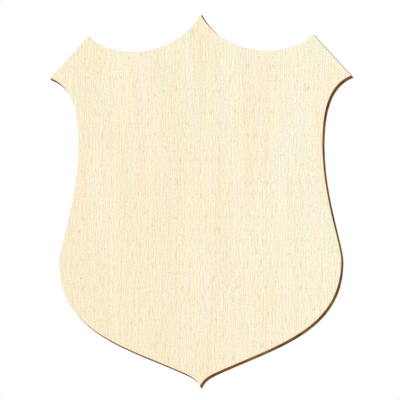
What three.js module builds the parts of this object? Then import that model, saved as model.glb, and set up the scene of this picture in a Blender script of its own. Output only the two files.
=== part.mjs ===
// A heraldic shield plaque: one flat board cut from a sheet of thin plywood.
// Lengths are in millimetres and angles in degrees. +Z is up, and the shield's face looks towards -Y.
// The origin is the middle of the flat back, on the shield's centreline and half way up it.
import * as THREE from "three";

// The board
const shieldHeight = 80; // from the tip below to the peak above
const boardThickness = 4; // three plies
const veneerColour = 0xf9efd2;
const veneerRoughness = 0.65;

// The top edge: a peak on the centreline, and a hollow scallop from it up to the inner corner of each ear.
const peakAngle = 61.5; // how steeply the edge leaves the peak, below the horizontal
const innerCornerHalfWidth = 24.15;
const innerCornerDrop = 4.6; // below the peak
const innerCornerAngle = 40.5; // how steeply the edge rises into the corner
const scallopPull = [0.385, 0.38];

// The ears: cut straight from the inner corner to the outer one, and undercut below it.
const outerCornerHalfWidth = 32.4;
const outerCornerDrop = 13.65; // below the peak
const undercutAngle = 20.5; // below the horizontal, towards the centreline
const neckPull = [0.305, 0.505];

// The sides: hollow at the waist, full at the hip.
const waistHalfWidth = 26.2;
const waistDrop = 28.1; // below the peak
const flankPull = [0.445, 0.145];
const hipHalfWidth = 30.25;
const hipRise = 26.9; // above the tip
const bellyPull = [0.42, 0.39];

// The foot: each side flattens to a lap beside the centreline, then flicks down to the tip.
const lapHalfWidth = 6.7;
const lapRise = 4.45; // above the tip
const lapAngle = 23; // below the horizontal, towards the centreline
const tipAngle = 65; // how steeply the edge reaches the tip, below the horizontal
const flickPull = [0.645, 0.285];

const stepsPerCurve = 20;

// The direction at an angle from the +X side, anticlockwise as seen from in front.
function heading(degrees) {
  const angle = THREE.MathUtils.degToRad(degrees);
  return new THREE.Vector2(Math.cos(angle), Math.sin(angle));
}

// Points of a curve that leaves start along one heading and reaches end along another. Each end pulls on the curve
// with its own share of the straight distance between them.
function flow(start, startHeading, end, endHeading, [startPull, endPull]) {
  const span = start.distanceTo(end);
  const leaving = start.clone().addScaledVector(heading(startHeading), startPull * span);
  const arriving = end.clone().addScaledVector(heading(endHeading), -endPull * span);
  return new THREE.CubicBezierCurve(start, leaving, arriving, end).getPoints(stepsPerCurve);
}

// The right half of the outline, from the peak down to the tip.
function rightHalf() {
  const top = shieldHeight / 2;
  const bottom = -shieldHeight / 2;
  const down = -90;
  const inwards = 180;
  const peak = new THREE.Vector2(0, top);
  const innerCorner = new THREE.Vector2(innerCornerHalfWidth, top - innerCornerDrop);
  const outerCorner = new THREE.Vector2(outerCornerHalfWidth, top - outerCornerDrop);
  const waist = new THREE.Vector2(waistHalfWidth, top - waistDrop);
  const hip = new THREE.Vector2(hipHalfWidth, bottom + hipRise);
  const lap = new THREE.Vector2(lapHalfWidth, bottom + lapRise);
  const tip = new THREE.Vector2(0, bottom);
  const scallop = flow(peak, -peakAngle, innerCorner, innerCornerAngle, scallopPull);
  const neck = flow(outerCorner, inwards + undercutAngle, waist, down, neckPull);
  const flank = flow(waist, down, hip, down, flankPull);
  const belly = flow(hip, down, lap, inwards + lapAngle, bellyPull);
  const flick = flow(lap, inwards + lapAngle, tip, inwards + tipAngle, flickPull);
  return [...scallop, ...neck, ...flank.slice(1), ...belly.slice(1), ...flick.slice(1)];
}

// The whole outline, anticlockwise as seen from in front: the left half is the right half's mirror image.
function shieldOutline() {
  const right = rightHalf();
  const left = right.slice(1, -1).map((point) => new THREE.Vector2(-point.x, point.y));
  return new THREE.Shape([...left, right.at(-1), ...right.slice(0, -1).reverse()]);
}

// The board is drawn lying flat, then stood up, so that its thickness runs from the back at y = 0 towards -Y.
function shieldBoard() {
  const geometry = new THREE.ExtrudeGeometry(shieldOutline(), { depth: boardThickness, bevelEnabled: false });
  const material = new THREE.MeshStandardMaterial({
    color: veneerColour,
    roughness: veneerRoughness,
    metalness: 0,
  });
  const board = new THREE.Mesh(geometry, material);
  board.name = "shield_board";
  board.rotation.x = Math.PI / 2;
  return board;
}

const group = new THREE.Group();
group.add(shieldBoard());
export default group;
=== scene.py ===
import bpy
import numpy as np
from mathutils import Matrix, Vector
from mathutils.geometry import delaunay_2d_cdt


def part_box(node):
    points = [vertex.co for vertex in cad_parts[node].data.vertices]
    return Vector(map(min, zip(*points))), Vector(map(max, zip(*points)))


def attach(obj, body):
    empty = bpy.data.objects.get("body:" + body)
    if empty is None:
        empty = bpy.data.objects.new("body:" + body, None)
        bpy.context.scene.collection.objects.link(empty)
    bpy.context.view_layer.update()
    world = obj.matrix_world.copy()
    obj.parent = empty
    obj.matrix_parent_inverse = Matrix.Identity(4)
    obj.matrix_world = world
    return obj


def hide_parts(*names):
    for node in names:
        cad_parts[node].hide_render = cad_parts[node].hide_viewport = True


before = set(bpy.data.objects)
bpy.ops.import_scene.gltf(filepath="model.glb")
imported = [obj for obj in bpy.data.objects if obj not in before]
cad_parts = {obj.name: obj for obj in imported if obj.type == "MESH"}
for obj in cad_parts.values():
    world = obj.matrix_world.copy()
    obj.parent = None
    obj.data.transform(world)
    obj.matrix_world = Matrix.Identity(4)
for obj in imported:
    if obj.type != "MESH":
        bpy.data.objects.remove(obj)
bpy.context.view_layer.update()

# The camera
# A long lens stands a little to the right of the shield and a little below it, so that the right and lower
# sides of the cut just show. It is rolled by a fraction of a degree.
MM = 0.001
PICTURE_SIDE = 400  # pixels
PIXELS_PER_METRE = 4693
SENSOR_WIDTH = 36 * MM
LENS_LENGTH = 1000 * MM
azimuth, elevation, roll = np.radians([5.8, -5.6, 0.12])
aim_right, aim_up = -0.455 * MM, 0.44 * MM  # from the middle of the back

across = Vector((np.cos(azimuth), np.sin(azimuth), 0))
level = Vector((np.sin(azimuth), -np.cos(azimuth), 0))
outwards = level * np.cos(elevation) + Vector((0, 0, np.sin(elevation)))
upwards = outwards.cross(across)
camera_right = across * np.cos(roll) + upwards * np.sin(roll)
camera_up = upwards * np.cos(roll) - across * np.sin(roll)
distance = PICTURE_SIDE / PIXELS_PER_METRE * LENS_LENGTH / SENSOR_WIDTH
camera_place = camera_right * aim_right + camera_up * aim_up + outwards * distance

lens = bpy.data.cameras.new("long_lens")
lens.sensor_width = SENSOR_WIDTH / MM
lens.lens = LENS_LENGTH / MM
lens.clip_start, lens.clip_end = 0.1, 10
camera = bpy.data.objects.new("camera", lens)
turned = Matrix((camera_right, camera_up, outwards)).transposed().to_4x4()
camera.matrix_world = Matrix.Translation(camera_place) @ turned
bpy.context.scene.collection.objects.link(camera)
bpy.context.scene.camera = camera

# The plywood board
# One flat shield of three-ply board with bare, pale beech veneers, cut right through by a laser. The beam
# has charred the cut brown, left fine drag lines on it, and burnt the glue lines back a little.
NODE = "shield_board"
low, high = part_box(NODE)
thickness = high.y - low.y
HUB_HEIGHT = 14.1 * MM  # of a point on the centreline from which the whole outline is in sight
SHARP_TURN = np.radians(25)
CUT_STEP = 0.2 * MM
ARRIS_RADIUS = 0.012 * MM
ARRIS_STEPS = 2
FLARE = 0.14 * MM  # the beam cuts wider at the front, so the front is this much smaller all round
CUT_ROWS = 38
GLUE_LINES = np.array([0.32, 0.68]) * thickness  # from the front
GLUE_WIDTH = 0.07 * MM
GLUE_BURN = 0.05 * MM
CORE_BURN = 0.03 * MM
RIPPLE_DEPTH = 0.012 * MM
RIPPLE_DRAG = 0.5 * MM  # how far a drag line falls behind by the back
RIPPLE_START = 0.15 * MM  # the ripple is full by this depth
FEWEST_WAVES = 40  # of any drag line, round the outline
SHORTEST_WAVE = 5 * CUT_STEP
WAVE_KINDS = 14
RIPPLE_SEED = 3
CORNER_REACH = 1 * MM  # the burn fades out this near a sharp corner
FACE_GAPS = np.array([0.12, 0.3, 0.6, 1.1, 2, 3.5, 6, 10, 16, 23]) * MM  # from the rim to rings of points
RING_CLEARANCE = 0.98  # of its gap, which a point keeps from the whole rim
GAP_OVER_SPACING = 3  # a ring's points lie a third of its gap apart
FILL_INSIDE = 1  # the kind of fill: triangles inside the rim alone
SAME_POINT = 1e-5  # millimetres


def smooth_run(points, step):
    """Evenly spaced points on the cubic curve through the given ones, the last one left out. At each given
    point the slope is that of the parabola through it and its neighbours, and between two points the curve
    is the cubic with their places and slopes."""
    gaps = np.linalg.norm(np.diff(points, axis=0), axis=1)
    reach = np.concatenate([[0], np.cumsum(gaps)])
    slopes = np.gradient(points, reach, axis=0, edge_order=min(2, len(points) - 1))
    wanted = np.linspace(0, reach[-1], round(reach[-1] / step), endpoint=False)
    before = np.searchsorted(reach, wanted, side="right") - 1
    gap = gaps[before][:, None]
    t = (wanted - reach[before])[:, None] / gap
    start, end = points[before], points[before + 1]
    return (
        start * (1 + 2 * t) * (1 - t) ** 2
        + end * (3 - 2 * t) * t**2
        + slopes[before] * gap * t * (1 - t) ** 2
        - slopes[before + 1] * gap * t**2 * (1 - t)
    )


def cut_line(step):
    """The outline as a closed run of (x, z), anticlockwise from in front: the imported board's own outline
    points, in the order of their bearing from the hub, smoothed between one sharp corner and the next."""
    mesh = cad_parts[NODE].data
    spots = np.empty(len(mesh.vertices) * 3, np.float32)
    mesh.vertices.foreach_get("co", spots)
    spots = spots.reshape(-1, 3)
    loop = np.unique(spots[spots[:, 1] > high.y - thickness / 2][:, [0, 2]], axis=0).astype(float)
    loop = loop[np.argsort(np.arctan2(loop[:, 1] - HUB_HEIGHT, loop[:, 0]))]
    leaving = np.roll(loop, -1, axis=0) - loop
    heading = np.arctan2(leaving[:, 1], leaving[:, 0])
    turn = np.abs(np.angle(np.exp(1j * (heading - np.roll(heading, 1)))))
    corners = np.flatnonzero(turn > SHARP_TURN)
    loop = np.roll(loop, -corners[0], axis=0)
    stops = np.append(corners - corners[0], len(loop))
    loop = np.vstack([loop, loop[:1]])
    return np.vstack([smooth_run(loop[a : b + 1], step) for a, b in zip(stops[:-1], stops[1:])])


def ripple(along, waves, seed):
    """Drag lines from -1 to 1: the mean of sines with whole numbers of waves round the outline, at random
    phases."""
    random = np.random.default_rng(seed)
    total = np.zeros_like(along)
    for wave in waves:
        total += np.sin(2 * np.pi * (wave * along + random.random()))
    return total / len(waves)


outline = cut_line(CUT_STEP)
columns = len(outline)
arriving = outline - np.roll(outline, 1, axis=0)
leaving = np.roll(arriving, -1, axis=0)
tangent = arriving + leaving
tangent /= np.linalg.norm(tangent, axis=1)[:, None]
normal = np.stack([tangent[:, 1], -tangent[:, 0]], axis=1)
steps = np.linalg.norm(leaving, axis=1)
perimeter = steps.sum()
reach = np.cumsum(steps) - steps
leaving /= steps[:, None]
arriving = arriving / np.roll(steps, 1)[:, None]
mitre = normal / (tangent * leaving).sum(axis=1)[:, None]

# At a sharp corner the mitre also runs along the cut, and the points near the corner slip along with it,
# less and less, so that they keep their order when the cut is inset.
corner = np.flatnonzero((leaving * arriving).sum(axis=1) < np.cos(SHARP_TURN))
past = (reach[:, None] - reach[corner] + perimeter / 2) % perimeter - perimeter / 2
nearest = np.abs(past).argmin(axis=1)
past = past[np.arange(columns), nearest]
side = np.where(past[:, None] > 0, leaving[corner[nearest]], arriving[corner[nearest]])
nearness = np.clip(1 - np.abs(past) / CORNER_REACH, 0, 1)
slip = (mitre[corner[nearest]] * side).sum(axis=1) * nearness
slip[corner] = 0
mitre += slip[:, None] * tangent

# Down the cut, each row has a depth below the front and an inset from the outline. A quarter circle rounds
# each arris.
round_off = np.linspace(0, np.pi / 2, ARRIS_STEPS + 1)
arris_depth = ARRIS_RADIUS * (1 - np.cos(round_off))
arris_inset = ARRIS_RADIUS * (1 - np.sin(round_off))
flat_depth = np.linspace(ARRIS_RADIUS, thickness - ARRIS_RADIUS, CUT_ROWS)[1:-1]
depth = np.concatenate([arris_depth, flat_depth, thickness - arris_depth[::-1]])
inset = np.concatenate([arris_inset, np.zeros(len(flat_depth)), arris_inset[::-1]])
inset += FLARE * (1 - depth / thickness)
from_glue = (depth[:, None] - GLUE_LINES) / GLUE_WIDTH
glue_burn = np.exp(-(from_glue**2)).sum(axis=1)
core_burn = (1 + np.tanh(from_glue[:, 0])) / 2 * (1 - np.tanh(from_glue[:, 1])) / 2
burn = GLUE_BURN * glue_burn + CORE_BURN * core_burn
along = np.arange(columns) / columns + RIPPLE_DRAG / perimeter * (depth[:, None] / thickness) ** 2
wave_numbers = np.unique(np.geomspace(FEWEST_WAVES, perimeter / SHORTEST_WAVE, WAVE_KINDS).astype(int))
inside_arris = np.clip((thickness / 2 - np.abs(depth - thickness / 2)) / RIPPLE_START, 0, 1)
burn = burn[:, None] + RIPPLE_DEPTH * inside_arris[:, None] * (1 + ripple(along, wave_numbers, RIPPLE_SEED))
inset = inset[:, None] + burn * (1 - nearness)
cut = outline - inset[:, :, None] * mitre

# Both faces are filled with the same triangles, between the rim and points laid at set gaps inside it.
rim = cut[0]


def from_rim(points):
    """How far each point lies from the rim: the least distance to any of the rim's own points."""
    gaps = points[:, None, :] - rim[None, :, :]
    return np.sqrt((gaps**2).sum(axis=2).min(axis=1))


inner = []
for gap in FACE_GAPS:
    laid = (rim - gap * normal)[:: max(1, round(gap / (GAP_OVER_SPACING * CUT_STEP)))]
    inner.append(laid[from_rim(laid) > RING_CLEARANCE * gap])
inner = np.vstack(inner)
flat = np.vstack([rim, inner])
column = np.arange(columns)
following = np.roll(column, -1)
corners_of_edges = np.stack([column, following], axis=1)
filled = delaunay_2d_cdt((flat / MM).tolist(), corners_of_edges.tolist(), [], FILL_INSIDE, SAME_POINT)
fan = np.array(filled[2])

row_y = low.y + depth
grid = np.stack([cut[..., 0], np.broadcast_to(row_y[:, None], cut.shape[:2]), cut[..., 1]], axis=2)
front_inner = np.insert(inner, 1, low.y, axis=1)
back_inner = np.insert(inner, 1, high.y, axis=1)
spots = np.vstack([grid.reshape(-1, 3), front_inner, back_inner])
row_start = np.arange(len(cut) - 1)[:, None] * columns
next_row = row_start + columns
quad_corners = [row_start + column, next_row + column, next_row + following, row_start + following]
quads = np.stack(quad_corners, axis=2).reshape(-1, 4)
in_rim = fan < columns
fan_inside = fan - columns + len(cut) * columns
front_fan = np.where(in_rim, fan, fan_inside)
back_fan = np.where(in_rim, fan + (len(cut) - 1) * columns, fan_inside + len(inner))[:, ::-1]

board_mesh = bpy.data.meshes.new("plywood_board")
board_mesh.from_pydata(spots.tolist(), [], quads.tolist() + front_fan.tolist() + back_fan.tolist())
board = bpy.data.objects.new("plywood_board", board_mesh)
bpy.context.scene.collection.objects.link(board)

# Each polygon knows its finish, and the flat faces are shaded flat. Each point knows how far it lies from
# the rim, and each point of the cut how much end grain the upright veneers show there.
FACE_VENEER, CHARRED_CUT, BACK_VENEER = 0, 1, 2
row_finish = np.full(len(cut) - 1, CHARRED_CUT)
row_finish[:ARRIS_STEPS] = FACE_VENEER
finish = np.concatenate([np.repeat(row_finish, columns), np.repeat([FACE_VENEER, BACK_VENEER], len(fan))])
board_mesh.polygons.foreach_set("material_index", finish.astype(np.int32))
board_mesh.polygons.foreach_set("use_smooth", np.arange(len(finish)) < len(quads))
from_cut = np.concatenate([np.zeros(len(spots) - 2 * len(inner)), np.tile(from_rim(inner), 2)])
end_grain = np.append(np.tile(np.abs(normal[:, 1]), len(cut)), np.zeros(2 * len(inner)))
for name, values in (("from_cut", from_cut), ("end_grain", end_grain)):
    attribute = board_mesh.attributes.new(name, "FLOAT", "POINT")
    attribute.data.foreach_set("value", values.astype(np.float32))


def paint(red, green, blue):
    """A colour as a screen shows it, 0 to 255, turned by the screen's curve to linear values of light."""
    seen = np.array([red, green, blue]) / 255
    linear = np.where(seen <= 0.04045, seen / 12.92, ((seen + 0.055) / 1.055) ** 2.4)
    return (*linear.tolist(), 1)


def put(tree, kind, inputs, **settings):
    """A new node with its settings made and its inputs fed, each by another node's output or by a value."""
    made = tree.nodes.new("ShaderNode" + kind)
    for name, value in settings.items():
        setattr(made, name, value)
    for name, value in inputs.items():
        if isinstance(value, bpy.types.NodeSocket):
            tree.links.new(value, made.inputs[name])
        else:
            made.inputs[name].default_value = value
    return made


def reckon(tree, operation, *values):
    """The output of a Math node on the values."""
    return put(tree, "Math", dict(enumerate(values)), operation=operation).outputs[0]


def ease(tree, value, start, end, low=0.0, high=1.0):
    """The value's smooth step from low at start to high at end."""
    inputs = {"Value": value, "From Min": start, "From Max": end, "To Min": low, "To Max": high}
    return put(tree, "MapRange", inputs, interpolation_type="SMOOTHSTEP").outputs[0]


def blend(tree, share, first, second):
    """Two colours mixed by a share of the second."""
    return put(tree, "Mix", {0: share, 6: first, 7: second}, data_type="RGBA").outputs[2]


def streaks(tree, place, wide, tall, detail=1, rough=0.5, shift=0, deep=None):
    """Noise from 0 to 1, at a shift of its own, in cells of a width along X, a height along Z and a depth
    along Y, which is the width where none is given."""
    cells = {0: place, 1: (1 / wide, 1 / (deep or wide), 1 / tall), 2: (shift, shift, shift)}
    stretched = put(tree, "VectorMath", cells, operation="MULTIPLY_ADD").outputs[0]
    inputs = {"Vector": stretched, "Scale": 1, "Detail": detail, "Roughness": rough}
    return put(tree, "TexNoise", inputs).outputs["Fac"]


def crisp(tree, place, wide, tall, shift):
    """Sharp-sided streaks about 0: the streaks at a place, less those half a streak to its right."""
    aside = put(tree, "VectorMath", {0: place, 1: (wide / 2, 0, 0)}).outputs[0]
    here = streaks(tree, place, wide, tall, detail=0, shift=shift)
    there = streaks(tree, aside, wide, tall, detail=0, shift=shift)
    return reckon(tree, "SUBTRACT", here, there)


def veneer_grain():
    """Pale beech: soft stripes of slightly different tints, sharp fibre lines and short ray flecks, all
    upright. It is warmest at the lower left. It gives the colour, the height of the surface and the
    roughness."""
    tree = bpy.data.node_groups.new("veneer_grain", "ShaderNodeTree")
    for name in ("Pale", "Warm", "Fleck"):
        tree.interface.new_socket(name, in_out="INPUT", socket_type="NodeSocketColor")
    for name, kind in (("Color", "Color"), ("Height", "Float"), ("Roughness", "Float")):
        tree.interface.new_socket(name, in_out="OUTPUT", socket_type="NodeSocket" + kind)
    given = tree.nodes.new("NodeGroupInput").outputs
    place = tree.nodes.new("ShaderNodeTexCoord").outputs["Object"]
    wander = reckon(tree, "MULTIPLY_ADD", streaks(tree, place, 18 * MM, 40 * MM), WANDER, -WANDER / 2)
    sideways = put(tree, "CombineXYZ", {0: wander}).outputs[0]
    place = put(tree, "VectorMath", {0: place, 1: sideways}).outputs[0]
    lean = put(tree, "VectorMath", {0: place, 1: WARM_LEAN}, operation="DOT_PRODUCT").outputs["Value"]
    broad = streaks(tree, place, 5 * MM, 60 * MM, detail=1, rough=0.6, shift=3)
    stripes = streaks(tree, place, 3 * MM, 40 * MM, detail=3, rough=0.8, shift=11)
    warmth = reckon(tree, "MULTIPLY_ADD", stripes, STRIPE_SHARE, reckon(tree, "ADD", lean, broad))
    warmth = ease(tree, warmth, STRIPE_SHARE / 2 - 0.5, STRIPE_SHARE / 2 + 1.5)
    colour = blend(tree, warmth, given["Pale"], given["Warm"])
    reddish = streaks(tree, place, 3 * MM, 22 * MM, detail=3, rough=0.8, shift=31)
    bluish = streaks(tree, place, 3 * MM, 22 * MM, detail=3, rough=0.8, shift=37)
    tints = {
        0: reckon(tree, "MULTIPLY_ADD", reddish, RED_TINT, 1 - RED_TINT / 2),
        1: 1,
        2: reckon(tree, "MULTIPLY_ADD", bluish, BLUE_TINT, 1 - BLUE_TINT / 2),
    }
    tint = put(tree, "CombineXYZ", tints).outputs[0]
    colour = put(tree, "VectorMath", {0: colour, 1: tint}, operation="MULTIPLY").outputs[0]
    lines = crisp(tree, place, 0.28 * MM, 10 * MM, shift=13)
    fibre = crisp(tree, place, 0.22 * MM, 1.8 * MM, shift=17)
    specks = streaks(tree, place, 0.4 * MM, 0.3 * MM, detail=1, rough=0.7, shift=29)
    grain = reckon(tree, "MULTIPLY_ADD", specks, SPECK_TONE, -SPECK_TONE / 2)
    grain = reckon(tree, "MULTIPLY_ADD", lines, LINE_TONE, grain)
    grain = reckon(tree, "MULTIPLY_ADD", fibre, FIBRE_TONE, grain)
    tones = {0: grain, 1: GRAIN_TINT, 2: (1, 1, 1)}
    tone = put(tree, "VectorMath", tones, operation="MULTIPLY_ADD").outputs[0]
    colour = put(tree, "VectorMath", {0: colour, 1: tone}, operation="MULTIPLY").outputs[0]
    rays = ease(tree, streaks(tree, place, 0.2 * MM, 1 * MM, detail=0, shift=19), 0.72, 0.79)
    pores = ease(tree, streaks(tree, place, 0.16 * MM, 2.5 * MM, detail=0, shift=23), 0.71, 0.79)
    flecks = reckon(tree, "MAXIMUM", rays, pores)
    colour = blend(tree, reckon(tree, "MULTIPLY", flecks, FLECK_SHARE), colour, given["Fleck"])
    height = reckon(tree, "MULTIPLY_ADD", flecks, -FLECK_DEPTH, fibre)
    handed = tree.nodes.new("NodeGroupOutput").inputs
    tree.links.new(colour, handed["Color"])
    tree.links.new(height, handed["Height"])
    tree.links.new(ease(tree, fibre, -0.2, 0.2, 0.62, 0.5), handed["Roughness"])
    return tree


def scorch():
    """How brown the laser has toasted a veneer: most at the cut, and gone at the reach, which wavers."""
    tree = bpy.data.node_groups.new("scorch", "ShaderNodeTree")
    for name in ("Reach", "Strength"):
        tree.interface.new_socket(name, in_out="INPUT", socket_type="NodeSocketFloat")
    tree.interface.new_socket("Share", in_out="OUTPUT", socket_type="NodeSocketFloat")
    given = tree.nodes.new("NodeGroupInput").outputs
    gap = put(tree, "Attribute", {}, attribute_name="from_cut").outputs["Fac"]
    place = tree.nodes.new("ShaderNodeTexCoord").outputs["Object"]
    waver = put(tree, "TexNoise", {"Vector": place, "Scale": 400, "Detail": 2}).outputs["Fac"]
    reach = reckon(tree, "MULTIPLY", given["Reach"], ease(tree, waver, 0.2, 0.8, 0.5, 1.5))
    share = reckon(tree, "SUBTRACT", 1, reckon(tree, "DIVIDE", gap, reach))
    share = reckon(tree, "POWER", reckon(tree, "MAXIMUM", share, 0), 2)
    handed = tree.nodes.new("NodeGroupOutput").inputs
    tree.links.new(reckon(tree, "MULTIPLY", share, given["Strength"]), handed["Share"])
    return tree


WANDER = 0.8 * MM  # of the grain, from side to side
WARM_LEAN = (-1 / (50 * MM), 0, -1 / (150 * MM))  # the drift of warmth along each axis
STRIPE_SHARE = 4.4
RED_TINT, BLUE_TINT = 0.17, 0.29
LINE_TONE, FIBRE_TONE, SPECK_TONE, FLECK_SHARE = 0.16, 0.295, 0.395, 0.65
GRAIN_TINT = (0.92, 1, 1.4)  # the grain's share in red, green and blue
FLECK_DEPTH = 0.6  # beside the height of the fibre
grain_group, scorch_group = veneer_grain(), scorch()


def place_group(tree, group, **values):
    """A node group placed in a material, with its values."""
    made = tree.nodes.new("ShaderNodeGroup")
    made.node_tree = group
    for name, value in values.items():
        made.inputs[name].default_value = value
    return made.outputs


def veneer(name, woods, toast, reach, strength):
    """A bare, sanded veneer, toasted along the cut."""
    made = bpy.data.materials.new(name)
    made.use_nodes = True
    tree = made.node_tree
    shader = tree.nodes["Principled BSDF"]
    grain = place_group(tree, grain_group, **woods)
    burn = place_group(tree, scorch_group, Reach=reach, Strength=strength)
    tree.links.new(blend(tree, burn["Share"], grain["Color"], toast), shader.inputs["Base Color"])
    tree.links.new(grain["Roughness"], shader.inputs["Roughness"])
    bump = put(tree, "Bump", {"Height": grain["Height"], "Distance": 0.02 * MM, "Strength": 0.5})
    tree.links.new(bump.outputs[0], shader.inputs["Normal"])
    shader.inputs["Specular IOR Level"].default_value = 0.25
    return made


def charred():
    """Wood burnt by the laser: brown that drifts between red, dark and golden round the outline, streaked
    through the thickness by the beam, and darker where a ply shows its end grain and on the glue lines."""
    made = bpy.data.materials.new("charred_cut")
    made.use_nodes = True
    tree = made.node_tree
    shader = tree.nodes["Principled BSDF"]
    place = tree.nodes.new("ShaderNodeTexCoord").outputs["Object"]
    drift = streaks(tree, place, 4.5 * MM, 4.5 * MM, detail=2, shift=41, deep=14 * MM)
    other_drift = streaks(tree, place, 3.3 * MM, 3.3 * MM, detail=1, shift=43, deep=10 * MM)
    colour = blend(tree, ease(tree, drift, 0.38, 0.68), RED_CHAR, DARK_CHAR)
    colour = blend(tree, ease(tree, other_drift, 0.46, 0.72), colour, GOLDEN_CHAR)
    streak = streaks(tree, place, 0.35 * MM, 0.35 * MM, detail=3, rough=0.6, shift=47, deep=4 * MM)
    specks = streaks(tree, place, 0.12 * MM, 0.12 * MM, detail=1, rough=0.6, shift=53)
    tone = ease(tree, streak, 0.25, 0.75, 0.74, 1.26)
    tone = reckon(tree, "MULTIPLY", tone, ease(tree, specks, 0.3, 0.7, 0.9, 1.1))
    from_front = reckon(tree, "SUBTRACT", put(tree, "SeparateXYZ", {0: place}).outputs["Y"], low.y)
    glue = 0
    ply = 1  # turns to -1 in the core, and back to 1 in the veneer behind it
    for line in GLUE_LINES:
        past_line = reckon(tree, "SUBTRACT", from_front, float(line))
        gap = reckon(tree, "ABSOLUTE", past_line)
        glue = reckon(tree, "ADD", glue, ease(tree, gap, 1.6 * GLUE_WIDTH, 0.3 * GLUE_WIDTH))
        ply = reckon(tree, "MULTIPLY", ply, ease(tree, past_line, -GLUE_WIDTH, GLUE_WIDTH, -1, 1))
    veneer_end_grain = put(tree, "Attribute", {}, attribute_name="end_grain").outputs["Fac"]
    end_grain = reckon(tree, "MULTIPLY", ply, reckon(tree, "MULTIPLY_ADD", veneer_end_grain, 2, -1))
    tone = reckon(tree, "MULTIPLY", tone, reckon(tree, "MULTIPLY_ADD", end_grain, -END_GRAIN_DARKENING, 1))
    tone = reckon(tree, "MULTIPLY", tone, reckon(tree, "MULTIPLY_ADD", glue, -GLUE_DARKENING, 1))
    colour = put(tree, "VectorMath", {0: colour, "Scale": tone}, operation="SCALE").outputs[0]
    tree.links.new(colour, shader.inputs["Base Color"])
    tree.links.new(ease(tree, streak, 0.3, 0.7, 0.9, 0.7), shader.inputs["Roughness"])
    bump = put(tree, "Bump", {"Height": streak, "Distance": 0.04 * MM, "Strength": 0.6})
    tree.links.new(bump.outputs[0], shader.inputs["Normal"])
    shader.inputs["Specular IOR Level"].default_value = 0
    return made


END_GRAIN_DARKENING, GLUE_DARKENING = 0.14, 0.5
RED_CHAR, DARK_CHAR, GOLDEN_CHAR = paint(141, 86, 46), paint(90, 60, 33), paint(141, 103, 55)
face_woods = {"Pale": paint(249, 242, 216), "Warm": paint(248, 235, 204), "Fleck": paint(203, 188, 156)}
back_woods = {"Pale": paint(246, 236, 205), "Warm": paint(243, 225, 190), "Fleck": paint(205, 176, 135)}
face_toast = {"toast": paint(222, 158, 98), "reach": 0.12 * MM, "strength": 0.3}
back_toast = {"toast": paint(176, 122, 76), "reach": 1.2 * MM, "strength": 0.75}
board_mesh.materials.append(veneer("face_veneer", face_woods, **face_toast))
board_mesh.materials.append(charred())
board_mesh.materials.append(veneer("back_veneer", back_woods, **back_toast))
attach(board, "root")
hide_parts(NODE)

# The studio
# A plain pale floor lies well below the shield, in even white light: a bright white surround, a soft lamp
# in front, above and a little to the left, a weaker one that fills from the right, and one for the back.
FLOOR_DROP = 0.35
FLOOR_RADIUS = 6
FLOOR_SIDES = 96
turn = np.linspace(0, 2 * np.pi, FLOOR_SIDES, endpoint=False)
floor_edge = [FLOOR_RADIUS * np.cos(turn), FLOOR_RADIUS * np.sin(turn), np.full(FLOOR_SIDES, -FLOOR_DROP)]
floor_mesh = bpy.data.meshes.new("floor")
floor_mesh.from_pydata(np.stack(floor_edge, axis=1).tolist(), [], [list(range(FLOOR_SIDES))])
floor = bpy.data.objects.new("floor", floor_mesh)
bpy.context.scene.collection.objects.link(floor)
pale_floor = bpy.data.materials.new("pale_floor")
pale_floor.use_nodes = True
pale_floor.node_tree.nodes["Principled BSDF"].inputs["Base Color"].default_value = paint(244, 243, 240)
pale_floor.node_tree.nodes["Principled BSDF"].inputs["Roughness"].default_value = 0.9
floor_mesh.materials.append(pale_floor)


def lamp(name, place, size, power):
    """A square soft lamp that faces the shield."""
    data = bpy.data.lights.new(name, "AREA")
    data.size = size
    data.energy = power
    made = bpy.data.objects.new(name, data)
    facing = Vector(place).to_track_quat("Z", "Y").to_matrix().to_4x4()
    made.matrix_world = Matrix.Translation(place) @ facing
    bpy.context.scene.collection.objects.link(made)


lamp("key_lamp", place=(-0.3, -1, 1), size=0.8, power=3.4)
lamp("fill_lamp", place=(1.1, -1, 0.6), size=0.8, power=2)
lamp("back_lamp", place=(-0.5, 1.3, 0.8), size=0.8, power=2)

surround = bpy.data.worlds.new("white_surround")
surround.use_nodes = True
sky = surround.node_tree
SURROUND_LIGHT = 0.84  # on the shield and the floor, of the full white that the camera sees
seen = put(sky, "LightPath", {}).outputs["Is Camera Ray"]
strength = ease(sky, seen, 0, 1, SURROUND_LIGHT, 1)
sky.links.new(strength, sky.nodes["Background"].inputs["Strength"])
sky.nodes["Background"].inputs["Color"].default_value = (1, 1, 1, 1)
bpy.context.scene.world = surround
bpy.context.scene.view_settings.view_transform = "Standard"
